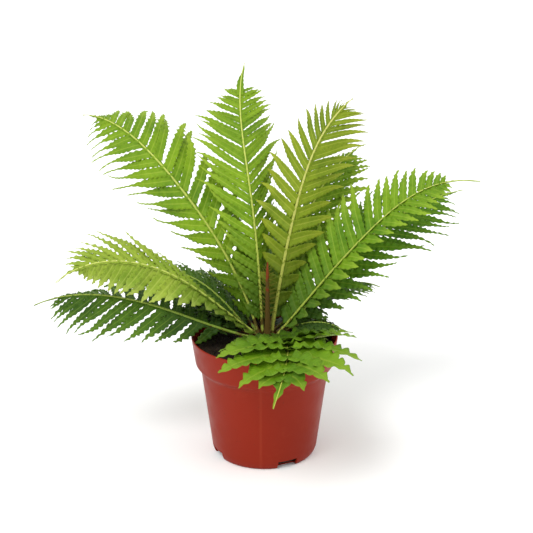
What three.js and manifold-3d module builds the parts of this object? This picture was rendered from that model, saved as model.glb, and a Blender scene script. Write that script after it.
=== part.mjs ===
// Potted fern: a crown of feathery fronds growing from potting soil in a thin plastic nursery pot.
// Millimetres, +Z up, origin at the centre of the pot's flat foot, front of the plant towards -Y.
import * as THREE from "three";
import Module from "manifold-3d";

const wasm = await Module();
wasm.setup();

// ---------------------------------------------------------------- driving sizes
// Nursery pot: a drafted wall with a wider collar under the rim and four drain notches at the foot.
const POT_HEIGHT = 102;
const RIM_RADIUS = 60;
const COLLAR_HEIGHT = 23;
const COLLAR_DRAFT = 3.2;
const COLLAR_STEP = 4.2;
const COLLAR_STEP_HEIGHT = 4;
const FOOT_RADIUS = 43;
const FOOT_ROUND = 5;
const FOOT_ROUND_IN = 0.35;
const FOOT_ROUND_UP = 0.3;
const WALL = 1.6;
const POT_SEGMENTS = 56;
const NOTCH_COUNT = 4;
const NOTCH_WIDTH = 17;
const NOTCH_HEIGHT = 7;
const NOTCH_DEPTH = 7;
const NOTCH_HEADING = -64;

// Soil: fills the pot to a little below the rim, heaped slightly towards the crown.
const FIT_GAP = 0.35;
const SOIL_DROP = 9;
const SOIL_HEAP = 2.5;
const SOIL_RIPPLE = 0.6;
const SOIL_RINGS = 5;
const SOIL_SECTORS = 32;
const SOIL_COARSE_WAVES = 3;
const SOIL_FINE_WAVES = 7;
const SOIL_WAVE_TURN = 0.4;

// Plant: one scale for all that grows above the soil.
const PLANT_SCALE = 1;

// Crown: the short scaly stem the fronds rise from.
const CROWN_RADIUS = 15;
const CROWN_TOP_RADIUS = 12.5;
const CROWN_HEIGHT = 4;
const CROWN_SIDE_SHARE = 0.5;
const CROWN_SEGMENTS = 28;

// Fronds: a stalk and midrib carrying pairs of strap-shaped leaflets.
const STALK_HALF_WIDTH = 1.3;
const STALK_HALF_HEIGHT = 1.2;
const MIDRIB_TIP_SHARE = 0.36;
const LEAFLET_FILL = 0.8;
const LEAFLET_THICKNESS = 0.7;
const LEAFLET_HOOK = 12;
const LONG_LEAFLET = 27;
const TAIL_HALF_WIDTH = 2.4;
const LENGTH_FALL = 1.7;

// Steps along a midrib, a stalk and a leaflet's path. Cuts across a leaflet and a tail are pairs:
// how far along it they lie, and their share of its full width.
const MIDRIB_STEPS = 96;
const STALK_STEPS = 4;
const LEAFLET_STEPS = 8;
const LONG_LEAFLET_CUTS = [[0.3, 1], [0.62, 0.86], [0.86, 0.42]];
const SHORT_LEAFLET_CUTS = [[0.5, 0.9]];
const TAIL_CUTS = [[0.2, 1], [0.55, 0.7]];

// Where a frond leaves the crown: older ones from the outer ring, younger ones from the inner ring.
const OUTER_RING = 10.4;
const INNER_RING = 5.6;

// Finishes.
const TERRACOTTA = 0x9c3a22;
const PLASTIC_ROUGHNESS = 0.45;
const SOIL_BROWN = 0x2b1d14;
const SOIL_ROUGHNESS = 0.95;
const SCALE_BROWN = 0x4a2c18;
const SCALE_ROUGHNESS = 0.9;
const LEAF_ROUGHNESS = 0.6;

// Leaf colours: the older the frond, the deeper its green.
const MID_GREEN = 0x83a632;
const YOUNG_OLIVE = 0x99a636;
const DEEP_GREEN = 0x5a7f26;
const BRIGHT_GREEN = 0x9bb64e;

// ---------------------------------------------------------------- frond table
// heading: compass direction of the midrib at even steps along it, degrees from +X towards +Y.
// lift: its angle above the horizontal at even steps. face: how far the blade is rolled about it.
// stalk and tail: bare length at the foot, undivided tip. crowd: above 1, leaflet pairs stand closer
// together towards the tip. reach: longest leaflet, and low, rise, peak
// and end shape how leaflet length runs along the blade. sweep: angle between leaflet and midrib.
// turn: what the left and right side add to it. sides: share of that length on the left and right.
// droop and curl: how far the left and right leaflets hang below the blade at their foot and beyond.
const USUAL = {
  ring: OUTER_RING,
  stalk: 35,
  tail: 22,
  pairs: 22,
  crowd: 1.22,
  low: 0.45,
  rise: 1,
  peak: 0.5,
  end: 0.14,
  sweep: [62, 40],
  turn: [0, 0],
  droop: [6, 6],
  curl: [18, 18],
  sag: 0.2,
  sides: [1, 1],
  thick: 1,
  color: MID_GREEN,
};
const FRONDS = [
  {
    name: "frond_upper_left",
    seat: 150,
    ring: INNER_RING,
    heading: [146, 143, 131],
    lift: [71, 49, 30, -11],
    face: [-70, -18],
    length: 272,
    tail: 25,
    stalk: 22,
    pairs: 19,
    reach: 58,
    low: 0.3,
    peak: 0.52,
    sweep: [54, 56],
    droop: [17, 12],
  },
  {
    name: "frond_back_tall",
    seat: 112,
    ring: INNER_RING,
    heading: [114.5, 105.5, 80.5],
    lift: [86, 72, 44, 22],
    face: [14, -9],
    length: 252,
    tail: 38,
    stalk: 16,
    pairs: 24,
    reach: 56,
    low: 0.3,
    peak: 0.55,
    end: 0.3,
    sweep: [52, 50],
    droop: [20, 20],
  },
  {
    name: "frond_back_right",
    color: YOUNG_OLIVE,
    seat: -6,
    ring: INNER_RING,
    heading: [19.5, 41.5, 38.5],
    lift: [82, 76, 63, 26],
    face: [66, 16],
    length: 211,
    stalk: 42,
    tail: 13,
    pairs: 18,
    reach: 47,
    low: 0.3,
    peak: 0.52,
    sweep: [78, 32],
    droop: [15, 26],
    thick: 1.25,
    crowd: 1.5,
    sag: 0.5,
  },
  {
    name: "frond_right_low",
    color: DEEP_GREEN,
    seat: 22,
    heading: [25, 25, 24],
    lift: [30, 44, 26, 3],
    face: [29, 23],
    length: 206,
    stalk: 26,
    pairs: 18,
    reach: 53,
    low: 0.3,
    peak: 0.56,
    sweep: [69, 38],
    droop: [5, 7],
  },
  {
    name: "frond_right_high",
    color: BRIGHT_GREEN,
    seat: -14,
    heading: [10, 12, 9],
    lift: [50, 48, 36, -11],
    face: [14, -2],
    length: 217,
    tail: 30,
    stalk: 10,
    pairs: 19,
    reach: 51,
    sides: [1, 0.6],
    low: 0.32,
    peak: 0.28,
    sweep: [66, 56],
    droop: [-42, 0],
    curl: [14, 50],
  },
  {
    name: "frond_left_arching",
    color: BRIGHT_GREEN,
    seat: 200,
    ring: INNER_RING,
    heading: [198, 194, 186],
    lift: [41, 41, 13, -40],
    face: [14, -42],
    length: 190,
    reach: 50,
    low: 0.14,
    peak: 0.52,
    sweep: [65, 31],
    droop: [48, -6],
    rise: 4,
    stalk: 17,
    pairs: 18,
    curl: [14, 12],
    sides: [0.66, 1],
    turn: [26, 0],
  },
  {
    name: "frond_left_low",
    color: DEEP_GREEN,
    seat: 222,
    heading: [188.5, 179.5, 172.5],
    lift: [18.5, 22, 5.5, -26],
    face: [-70, 6],
    length: 187,
    stalk: 46,
    pairs: 14,
    reach: 49,
    low: 0.42,
    peak: 0.5,
    sweep: [71, 37],
    droop: [28, 20],
    turn: [0, 24],
  },
  {
    name: "frond_front_drooping",
    color: BRIGHT_GREEN,
    seat: -72,
    heading: [-69, -88, -111],
    lift: [13, 20, -6, -36],
    face: [4, 0],
    length: 148,
    stalk: 12,
    tail: 30,
    pairs: 9,
    reach: 57,
    low: 0.5,
    peak: 0.36,
    sweep: [88, 46],
    droop: [-14, -14],
  },
  {
    name: "frond_right_back",
    color: MID_GREEN,
    seat: 67,
    heading: [50, 47, 43],
    lift: [67, 61, 45, 10],
    face: [16, 4],
    length: 188,
    stalk: 27,
    pairs: 15,
    reach: 48,
    low: 0.4,
    peak: 0.5,
    sweep: [68, 40],
    droop: [10, 10],
    thick: 0.9,
  },
  {
    name: "frond_left_back",
    color: DEEP_GREEN,
    seat: 175,
    heading: [160, 157, 154],
    lift: [48.5, 40, 11, -24],
    face: [-10, -10],
    length: 116,
    stalk: 27,
    tail: 16,
    pairs: 11,
    reach: 34,
    low: 0.5,
    peak: 0.4,
    thick: 0.9,
  },
  {
    name: "frond_rear",
    color: DEEP_GREEN,
    seat: 84,
    heading: [84, 82, 80],
    lift: [35, 31, 2, -30],
    face: [0, 0],
    length: 165,
    stalk: 10,
    tail: 18,
    pairs: 14,
    reach: 44,
    peak: 0.4,
    thick: 0.9,
  },
  {
    name: "frond_rear_left",
    color: DEEP_GREEN,
    seat: 130,
    heading: [125, 129, 131],
    lift: [28, 24, -2, -32],
    face: [0, 0],
    length: 124,
    stalk: 28,
    tail: 18,
    pairs: 13,
    reach: 36,
    peak: 0.4,
    thick: 0.9,
  },
  {
    name: "frond_rear_right",
    color: DEEP_GREEN,
    seat: 49,
    heading: [44.5, 40.5, 36.5],
    lift: [21.5, 17.5, -4, -30],
    face: [0, 0],
    length: 130,
    stalk: 6,
    tail: 16,
    pairs: 13,
    reach: 34,
    peak: 0.4,
    thick: 0.9,
  },
  {
    name: "frond_low_left",
    color: DEEP_GREEN,
    seat: 190,
    heading: [163, 160, 158],
    lift: [28, 19.5, -8, -40],
    face: [0, 0],
    length: 92,
    stalk: 10,
    tail: 12,
    pairs: 9,
    reach: 26,
    peak: 0.4,
    thick: 0.8,
  },
  {
    name: "frond_low_right",
    color: DEEP_GREEN,
    seat: 4,
    heading: [-0.5, 1.5, 3.5],
    lift: [33.5, 17.5, -10, -40],
    face: [0, 0],
    length: 60,
    stalk: 15,
    tail: 8,
    pairs: 8,
    reach: 19,
    peak: 0.4,
    thick: 0.8,
    low: 0.5,
  },
  {
    name: "young_frond",
    color: YOUNG_OLIVE,
    seat: -64,
    ring: 5.5,
    heading: [80, 60, 40],
    lift: [88, 89, 90, 88],
    face: [0, 0],
    length: 64,
    stalk: 18,
    tail: 5,
    pairs: 12,
    reach: 11,
    low: 0.7,
    peak: 0.5,
    end: 0.3,
    sweep: [74, 50],
    droop: [-10, -10],
    thick: 1.5,
  },
];

// ---------------------------------------------------------------- helpers
const radians = (degrees) => (degrees * Math.PI) / 180;

// Smooth value at share s (0 to 1) through values set at even steps.
function along(values, s) {
  const last = values.length - 1;
  const x = Math.min(Math.max(s, 0), 1) * last;
  const i = Math.min(Math.floor(x), last - 1);
  const t = x - i;
  const slope = (k) => {
    if (k === 0) return values[1] - values[0];
    if (k === last) return values[last] - values[last - 1];
    return (values[k + 1] - values[k - 1]) / 2;
  };
  const t2 = t * t;
  const t3 = t2 * t;
  return (
    (2 * t3 - 3 * t2 + 1) * values[i] +
    (t3 - 2 * t2 + t) * slope(i) +
    (3 * t2 - 2 * t3) * values[i + 1] +
    (t3 - t2) * slope(i + 1)
  );
}

// A closed body from a list of points and a list of faces, each face a ring of point numbers.
function bodyFrom(points, faces) {
  const index = [];
  for (const face of faces) {
    for (let k = 1; k + 1 < face.length; k++) {
      index.push(face[0], face[k], face[k + 1]);
    }
  }
  const geometry = new THREE.BufferGeometry();
  const flat = points.flatMap((p) => [p.x, p.y, p.z]);
  geometry.setAttribute("position", new THREE.Float32BufferAttribute(flat, 3));
  geometry.setIndex(index);
  geometry.computeVertexNormals();
  return geometry;
}

// A body turned about the Z axis from a profile of [radius, height] pairs.
function turned(profile, segments) {
  const points = [];
  const rows = profile.map(([radius, height]) => {
    if (radius === 0) {
      points.push(new THREE.Vector3(0, 0, height));
      return [points.length - 1];
    }
    const row = [];
    for (let k = 0; k < segments; k++) {
      const angle = (2 * Math.PI * k) / segments;
      row.push(points.length);
      points.push(new THREE.Vector3(radius * Math.cos(angle), radius * Math.sin(angle), height));
    }
    return row;
  });
  const faces = [];
  for (let r = 0; r + 1 < rows.length; r++) {
    for (let k = 0; k < segments; k++) {
      const n = (k + 1) % segments;
      const low = rows[r];
      const high = rows[r + 1];
      if (low.length === 1) faces.push([low[0], high[n], high[k]]);
      else if (high.length === 1) faces.push([low[k], low[n], high[0]]);
      else faces.push([low[k], low[n], high[n], high[k]]);
    }
  }
  return bodyFrom(points, faces);
}

const solidOf = (geometry) =>
  new wasm.Manifold(
    new wasm.Mesh({
      numProp: 3,
      vertProperties: new Float32Array(geometry.attributes.position.array),
      triVerts: new Uint32Array(geometry.index.array),
    }),
  );

function geometryOf(solid) {
  const mesh = solid.getMesh();
  const geometry = new THREE.BufferGeometry();
  const flat = [];
  for (let i = 0; i < mesh.numVert; i++) {
    const at = i * mesh.numProp;
    flat.push(mesh.vertProperties[at], mesh.vertProperties[at + 1], mesh.vertProperties[at + 2]);
  }
  geometry.setAttribute("position", new THREE.Float32BufferAttribute(flat, 3));
  geometry.setIndex([...mesh.triVerts]);
  geometry.computeVertexNormals();
  return geometry;
}

const group = new THREE.Group();
group.name = "potted_fern";

function addPiece(name, geometry, color, roughness) {
  const material = new THREE.MeshStandardMaterial({ color, roughness, metalness: 0 });
  const mesh = new THREE.Mesh(geometry, material);
  mesh.name = name;
  group.add(mesh);
}

// ---------------------------------------------------------------- pot
const collarFoot = POT_HEIGHT - COLLAR_HEIGHT;
const collarRadius = RIM_RADIUS - COLLAR_DRAFT;
const bodyTopRadius = collarRadius - COLLAR_STEP;
const bodyTop = collarFoot - COLLAR_STEP_HEIGHT;
// Outer wall radius at a height on the drafted body below the collar.
const bodyRadius = (z) => FOOT_RADIUS + ((bodyTopRadius - FOOT_RADIUS) * z) / bodyTop;

function potGeometry() {
  const outer = [
    [0, 0],
    [FOOT_RADIUS - FOOT_ROUND, 0],
    [FOOT_RADIUS - FOOT_ROUND * FOOT_ROUND_IN, FOOT_ROUND * FOOT_ROUND_UP],
    [bodyRadius(FOOT_ROUND), FOOT_ROUND],
    [bodyTopRadius, bodyTop],
    [collarRadius, collarFoot],
    [RIM_RADIUS, POT_HEIGHT],
  ];
  const inner = [
    [RIM_RADIUS - WALL, POT_HEIGHT],
    [collarRadius - WALL, collarFoot],
    [bodyTopRadius - WALL, bodyTop],
    [bodyRadius(FOOT_ROUND) - WALL, FOOT_ROUND],
    [FOOT_RADIUS - FOOT_ROUND, WALL],
    [0, WALL],
  ];
  let pot = solidOf(turned([...outer, ...inner], POT_SEGMENTS));
  for (let k = 0; k < NOTCH_COUNT; k++) {
    const cutter = wasm.Manifold.cube([2 * NOTCH_DEPTH, NOTCH_WIDTH, 2 * NOTCH_HEIGHT], true)
      .translate([bodyRadius(0), 0, 0])
      .rotate([0, 0, NOTCH_HEADING + (360 / NOTCH_COUNT) * k]);
    pot = pot.subtract(cutter);
  }
  return geometryOf(pot);
}

// ---------------------------------------------------------------- soil and crown
const soilEdge = POT_HEIGHT - SOIL_DROP;
const crownRadius = CROWN_RADIUS * PLANT_SCALE;
const innerCollarRadius = (z) =>
  collarRadius - WALL + (COLLAR_DRAFT * (z - collarFoot)) / COLLAR_HEIGHT;

// Height of the soil's upper face before its ripples, at a distance from the pot's axis.
const soilHeight = (radius) => soilEdge + SOIL_HEAP * (1 - radius / RIM_RADIUS);

function soilGeometry() {
  const points = [];
  const faces = [];
  const wall = [
    [FOOT_RADIUS - FOOT_ROUND - FIT_GAP, WALL + FIT_GAP],
    [bodyRadius(FOOT_ROUND) - WALL - FIT_GAP, FOOT_ROUND + FIT_GAP],
    [bodyTopRadius - WALL - FIT_GAP, bodyTop + FIT_GAP],
    [collarRadius - WALL - FIT_GAP, collarFoot + FIT_GAP],
    [innerCollarRadius(soilEdge) - FIT_GAP, soilEdge],
  ];
  const ringAt = (radius, height, ripple) => {
    const row = [];
    for (let k = 0; k < SOIL_SECTORS; k++) {
      const angle = (2 * Math.PI * k) / SOIL_SECTORS;
      const coarse = Math.sin(SOIL_COARSE_WAVES * angle + radius);
      const wave = coarse + Math.sin(SOIL_FINE_WAVES * angle - SOIL_WAVE_TURN * radius);
      row.push(points.length);
      points.push(
        new THREE.Vector3(
          radius * Math.cos(angle),
          radius * Math.sin(angle),
          height + ripple * wave,
        ),
      );
    }
    return row;
  };
  const rows = wall.map(([radius, height]) => ringAt(radius, height, 0));
  const topRadius = innerCollarRadius(soilEdge) - FIT_GAP;
  for (let k = SOIL_RINGS - 1; k >= 1; k--) {
    const radius = crownRadius + ((topRadius - crownRadius) * k) / SOIL_RINGS;
    rows.push(ringAt(radius, soilHeight(radius), SOIL_RIPPLE));
  }
  rows.push(ringAt(crownRadius, soilHeight(crownRadius), 0));
  points.push(new THREE.Vector3(0, 0, soilHeight(crownRadius)));
  const centre = points.length - 1;
  for (let r = 0; r + 1 < rows.length; r++) {
    for (let k = 0; k < SOIL_SECTORS; k++) {
      const n = (k + 1) % SOIL_SECTORS;
      faces.push([rows[r][k], rows[r][n], rows[r + 1][n], rows[r + 1][k]]);
    }
  }
  const last = rows[rows.length - 1];
  for (let k = 0; k < SOIL_SECTORS; k++) {
    faces.push([last[k], last[(k + 1) % SOIL_SECTORS], centre]);
  }
  faces.push([...rows[0]].reverse());
  return bodyFrom(points, faces);
}

const crownFoot = soilHeight(crownRadius) + FIT_GAP;
const crownTop = crownFoot + CROWN_HEIGHT * PLANT_SCALE;

function crownGeometry() {
  const profile = [
    [0, crownFoot],
    [crownRadius, crownFoot],
    [crownRadius, crownFoot + CROWN_HEIGHT * PLANT_SCALE * CROWN_SIDE_SHARE],
    [CROWN_TOP_RADIUS * PLANT_SCALE, crownTop],
    [0, crownTop],
  ];
  return turned(profile, CROWN_SEGMENTS);
}

// ---------------------------------------------------------------- fronds
// Each frond is laid out at its full-grown size above the middle of the crown's top face, then
// scaled with the plant and lifted to stand a gap above the crown.

// The midrib as a run of points with its own direction, left side and upper side at each.
function midribOf(frond, steps) {
  const seat = radians(frond.seat);
  const at = new THREE.Vector3(
    frond.ring * Math.cos(seat),
    frond.ring * Math.sin(seat),
    Math.hypot(STALK_HALF_WIDTH, STALK_HALF_HEIGHT) * frond.thick,
  );
  const frameAt = (s) => {
    const heading = radians(along(frond.heading, s));
    const lift = radians(along(frond.lift, s));
    const roll = radians(along(frond.face, s));
    const ahead = new THREE.Vector3(
      Math.cos(lift) * Math.cos(heading),
      Math.cos(lift) * Math.sin(heading),
      Math.sin(lift),
    );
    const level = new THREE.Vector3(-Math.sin(heading), Math.cos(heading), 0);
    const upright = new THREE.Vector3().crossVectors(ahead, level);
    const left = level
      .clone()
      .multiplyScalar(Math.cos(roll))
      .addScaledVector(upright, Math.sin(roll));
    const up = upright
      .clone()
      .multiplyScalar(Math.cos(roll))
      .addScaledVector(level, -Math.sin(roll));
    return { ahead, left, up };
  };
  const stations = [];
  for (let k = 0; k <= steps; k++) {
    const s = k / steps;
    if (k > 0) at.addScaledVector(frameAt(s - 0.5 / steps).ahead, frond.length / steps);
    stations.push({ point: at.clone(), ...frameAt(s) });
  }
  return stations;
}

// The midrib's point and frame at share s, between two neighbouring stations.
function stationAt(stations, s) {
  const x = Math.min(Math.max(s, 0), 1) * (stations.length - 1);
  const i = Math.min(Math.floor(x), stations.length - 2);
  const t = x - i;
  const blend = (key) => stations[i][key].clone().lerp(stations[i + 1][key], t);
  return {
    point: blend("point"),
    ahead: blend("ahead").normalize(),
    left: blend("left").normalize(),
    up: blend("up").normalize(),
  };
}

// Leaflet length at share u of the leafy part.
function leafletLength(frond, u) {
  if (u < frond.peak) {
    const climb = Math.sin(((u / frond.peak) * Math.PI) / 2) ** frond.rise;
    return frond.reach * (frond.low + (1 - frond.low) * climb);
  }
  const drop = ((u - frond.peak) / (1 - frond.peak)) ** LENGTH_FALL;
  return frond.reach * (frond.end + (1 - frond.end) * (1 - drop));
}

// Angle between leaflet and midrib at share u of the leafy part, in degrees.
const sweepAt = (frond, u) => frond.sweep[0] + (frond.sweep[1] - frond.sweep[0]) * u;

// Share of the midrib's own size left at share s along it.
const midribTaper = (s) => 1 - (1 - MIDRIB_TIP_SHARE) * s;

function frondGeometry(frond) {
  const midrib = midribOf(frond, MIDRIB_STEPS);
  const leafStart = frond.stalk / frond.length;
  const leafEnd = 1 - frond.tail / frond.length;
  const leafShare = (k) => leafEnd - (leafEnd - leafStart) * (1 - k / frond.pairs) ** frond.crowd;
  const points = [];
  const faces = [];
  const add = (v) => points.push(v) - 1;
  const halfWidth = (s) => STALK_HALF_WIDTH * frond.thick * midribTaper(s);
  const halfHeight = (s) => STALK_HALF_HEIGHT * frond.thick * midribTaper(s);
  // Four corners of the midrib: left upper, left lower, right lower, right upper.
  const ringAt = (s, wide, high) => {
    const { point, left, up } = stationAt(midrib, s);
    const corner = (a, b) =>
      add(point.clone().addScaledVector(left, a * wide).addScaledVector(up, b * high));
    return [corner(1, 1), corner(1, -1), corner(-1, -1), corner(-1, 1)];
  };
  const rows = [];
  for (let k = 0; k < STALK_STEPS; k++) {
    const s = (leafStart * k) / STALK_STEPS;
    rows.push({ ring: ringAt(s, halfWidth(s), halfHeight(s)), s });
  }
  for (let k = 0; k <= frond.pairs; k++) {
    const s = leafShare(k);
    rows.push({ ring: ringAt(s, halfWidth(s), halfHeight(s)), s, pair: k < frond.pairs ? k : -1 });
  }
  for (const [t, share] of TAIL_CUTS) {
    const s = leafEnd + (1 - leafEnd) * t;
    rows.push({ ring: ringAt(s, TAIL_HALF_WIDTH * share, LEAFLET_THICKNESS / 2), s });
  }
  const tip = add(stationAt(midrib, 1).point);

  // A leaflet grows from the side face of the midrib between two neighbouring rows.
  const leaflet = (root, side, row, next) => {
    const s = (row.s + next.s) / 2;
    const u = (row.pair + 0.5) / frond.pairs;
    const { point, ahead, left, up } = stationAt(midrib, s);
    const which = side > 0 ? 0 : 1;
    const reach = leafletLength(frond, u) * frond.sides[which];
    const pitch = (next.s - row.s) * frond.length;
    const cuts = reach > LONG_LEAFLET ? LONG_LEAFLET_CUTS : SHORT_LEAFLET_CUTS;
    const steps = LEAFLET_STEPS;
    const at = point.clone().addScaledVector(left, side * halfWidth(s));
    const path = [at.clone()];
    const frames = [];
    for (let j = 0; j < steps; j++) {
      const t = (j + 0.5) / steps;
      const angle = radians(sweepAt(frond, u) + frond.turn[which] - LEAFLET_HOOK * t);
      const hang = radians(frond.droop[which] + frond.curl[which] * t);
      const out = left
        .clone()
        .multiplyScalar(side * Math.cos(hang))
        .addScaledVector(up, -Math.sin(hang));
      const onward = ahead
        .clone()
        .multiplyScalar(Math.cos(angle))
        .addScaledVector(out, Math.sin(angle));
      onward.z -= frond.sag * t * t;
      onward.normalize();
      const across = ahead
        .clone()
        .multiplyScalar(Math.sin(angle))
        .addScaledVector(out, -Math.cos(angle));
      across.addScaledVector(onward, -across.dot(onward)).normalize();
      const face = onward.clone().cross(across).multiplyScalar(-side).normalize();
      at.addScaledVector(onward, reach / steps);
      path.push(at.clone());
      frames.push({ onward, across, face });
    }
    const spot = (t) => {
      const x = t * steps;
      const i = Math.min(Math.floor(x), steps - 1);
      return { at: path[i].clone().lerp(path[i + 1], x - i), ...frames[i] };
    };
    const width = LEAFLET_FILL * pitch * Math.sin(radians(sweepAt(frond, u)));
    const rings = [root];
    for (const [t, share] of cuts) {
      const { at: centre, across, face } = spot(t);
      const corner = (a, b) =>
        add(
          centre
            .clone()
            .addScaledVector(across, (a * share * width) / 2)
            .addScaledVector(face, (b * LEAFLET_THICKNESS) / 2),
        );
      rings.push(
        side > 0
          ? [corner(-1, 1), corner(1, 1), corner(1, -1), corner(-1, -1)]
          : [corner(-1, -1), corner(1, -1), corner(1, 1), corner(-1, 1)],
      );
    }
    for (let r = 0; r + 1 < rings.length; r++) {
      for (let k = 0; k < 4; k++) {
        const n = (k + 1) % 4;
        faces.push([rings[r][k], rings[r][n], rings[r + 1][n], rings[r + 1][k]]);
      }
    }
    const end = add(path[steps]);
    const last = rings[rings.length - 1];
    for (let k = 0; k < 4; k++) {
      faces.push([last[k], last[(k + 1) % 4], end]);
    }
  };

  faces.push([...rows[0].ring]);
  for (let r = 0; r + 1 < rows.length; r++) {
    const a = rows[r].ring;
    const b = rows[r + 1].ring;
    faces.push([a[3], b[3], b[0], a[0]]);
    faces.push([a[1], b[1], b[2], a[2]]);
    if (rows[r].pair >= 0) {
      leaflet([a[0], b[0], b[1], a[1]], 1, rows[r], rows[r + 1]);
      leaflet([a[2], b[2], b[3], a[3]], -1, rows[r], rows[r + 1]);
    } else {
      faces.push([a[0], b[0], b[1], a[1]]);
      faces.push([a[2], b[2], b[3], a[3]]);
    }
  }
  const end = rows[rows.length - 1].ring;
  for (let k = 0; k < 4; k++) {
    faces.push([end[k], tip, end[(k + 1) % 4]]);
  }
  const body = bodyFrom(points, faces);
  body.scale(PLANT_SCALE, PLANT_SCALE, PLANT_SCALE);
  body.translate(0, 0, crownTop + FIT_GAP);
  return body;
}

// ---------------------------------------------------------------- assembly
addPiece("nursery_pot", potGeometry(), TERRACOTTA, PLASTIC_ROUGHNESS);
addPiece("potting_soil", soilGeometry(), SOIL_BROWN, SOIL_ROUGHNESS);
addPiece("crown", crownGeometry(), SCALE_BROWN, SCALE_ROUGHNESS);
for (const entry of FRONDS) {
  const frond = { ...USUAL, ...entry };
  addPiece(frond.name, frondGeometry(frond), frond.color, LEAF_ROUGHNESS);
}

export default group;
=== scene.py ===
import math

import bmesh
import bpy
import numpy as np
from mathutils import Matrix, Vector


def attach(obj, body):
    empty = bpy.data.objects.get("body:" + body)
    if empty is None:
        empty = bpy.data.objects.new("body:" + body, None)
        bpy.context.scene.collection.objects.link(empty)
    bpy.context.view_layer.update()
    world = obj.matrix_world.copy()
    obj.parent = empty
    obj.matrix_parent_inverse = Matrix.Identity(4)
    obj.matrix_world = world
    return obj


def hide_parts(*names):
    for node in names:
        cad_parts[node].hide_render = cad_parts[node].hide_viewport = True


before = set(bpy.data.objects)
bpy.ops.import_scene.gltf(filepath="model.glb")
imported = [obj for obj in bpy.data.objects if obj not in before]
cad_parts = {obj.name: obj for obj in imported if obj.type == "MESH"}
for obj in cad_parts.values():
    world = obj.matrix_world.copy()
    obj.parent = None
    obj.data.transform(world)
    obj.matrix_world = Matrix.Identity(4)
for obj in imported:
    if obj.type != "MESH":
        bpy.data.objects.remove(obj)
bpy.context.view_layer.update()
MM = 0.001

# ------------------------------------------------------- sizes of the CAD part, in mm and degrees
POT_HEIGHT = 102
RIM_RADIUS = 60
COLLAR_HEIGHT = 23
COLLAR_DRAFT = 3.2
COLLAR_STEP = 4.2
COLLAR_STEP_HEIGHT = 4
FOOT_RADIUS = 43
FOOT_ROUND = 5
NOTCH_COUNT = 4
NOTCH_WIDTH = 17
NOTCH_HEIGHT = 7
NOTCH_DEPTH = 7
NOTCH_HEADING = -64
FIT_GAP = 0.35
SOIL_DROP = 9
SOIL_HEAP = 2.5
CROWN_RADIUS = 15
CROWN_TOP_RADIUS = 12.5
CROWN_HEIGHT = 4
STALK_HALF_WIDTH = 1.3
STALK_HALF_HEIGHT = 1.2
MIDRIB_TIP_SHARE = 0.36
OUTER_RING = 10.4
INNER_RING = 5.6
SOLID_WALL = 1.6

# sizes of the looks alone, in mm
WALL = 1.1
RACHIS_RISE = 0.45
LEAFLET_THICKNESS = 0.34
WING_THICKNESS = 0.3
TAIL_THICKNESS = 0.36
SCALE_THICKNESS = 0.12
CROWN_SCALE_THICKNESS = 0.16
LEAST_HALF_WIDTH = 0.16

# how many of each thing there are, and where the random draws start
STEPS = 160
TUBE_SIDES = 12
STALK_SCALES = 260
CROWN_SCALES = 420
CRUMBS = 900
SOIL_WAVES = 26
POT_SEGMENTS = 192
SOIL_SEGMENTS = 160
CROWN_SEGMENTS = 48
FROND_SEED = 100
SOIL_SEED = 7
CROWN_SEED = 11

# a frond's material slots
LEAF, RIB, SCALE = 0, 1, 2

COLLAR_FOOT = POT_HEIGHT - COLLAR_HEIGHT
COLLAR_RADIUS = RIM_RADIUS - COLLAR_DRAFT
BODY_TOP_RADIUS = COLLAR_RADIUS - COLLAR_STEP
BODY_TOP = COLLAR_FOOT - COLLAR_STEP_HEIGHT
SOIL_EDGE = POT_HEIGHT - SOIL_DROP


def soil_height(radius):
    return SOIL_EDGE + SOIL_HEAP * (1 - radius / RIM_RADIUS)


CROWN_FOOT = soil_height(CROWN_RADIUS) + FIT_GAP
CROWN_TOP = CROWN_FOOT + CROWN_HEIGHT

# ---------------------------------------------------------------- frond table
# Lengths are in mm and angles in degrees. Where a value is a pair, it is for the left and the right
# leaflets, except face and sweep, which go from the foot of the frond to its tip.
# seat, ring: direction and distance of the stalk's foot from the pot's axis.
# heading, lift, face: compass direction, angle above level and roll of the midrib, from foot to tip.
# bare, tail: stalk without leaflets, on nine fronds shorter than the solid's, and the undivided tip.
# thick, stout: stalk against the usual one, in the solid and on top of that in the looks.
# pairs, more: leaflet pairs of the solid, and how many the looks add. crowd: how they close up to the
# tip.
# reach: longest leaflet, at the share peak of the leafy part. low, end: its share at foot and tip.
# rise: how slowly leaflets lengthen from the foot. sides: length of each side, as in the solid. trim,
# spread: the same again in the looks, spread only on the outer half of the frond.
# sweep: angle of a leaflet to the midrib. turn: added to it on each side. droop, curl: how far
# leaflets hang at their foot, and how much more at their tip. sag: pull of their weight. hook: bend
# towards the frond's tip.
# broad: width against the spacing. slim: where a leaflet starts to narrow. strap, blunt: share of a
# parallel-sided and of a round-ended outline. lobe, ruffle: length and depth of the lobes.
# thread: how fine and loose the tips are. wing: strip of leaf along the midrib. tailwide, taillobe:
# half width and lobes of the tip. fuzz: how far up, and how thickly, brown scales cover the stalk.
USUAL = dict(
    ring=OUTER_RING, face=(0, 0), tail=22, more=0, crowd=1.22, low=0.45, peak=0.5, end=0.14,
    sweep=(62, 40), turn=(0, 0), droop=(6, 6), curl=(18, 18), sag=0.2, sides=(1, 1),
    trim=(1, 1), spread=(0, 0), thick=1, stout=1, rise=1, hook=12, wing=2.6, slim=(0.47, 0.47),
    blunt=(0.15, 0.15), ruffle=0.8, thread=1.0, strap=1.0, lobe=4.8, broad=1.1, tailwide=2.2,
    taillobe=1, fuzz=0.22, slot="mid_green_leaf", look="mid",
)
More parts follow.
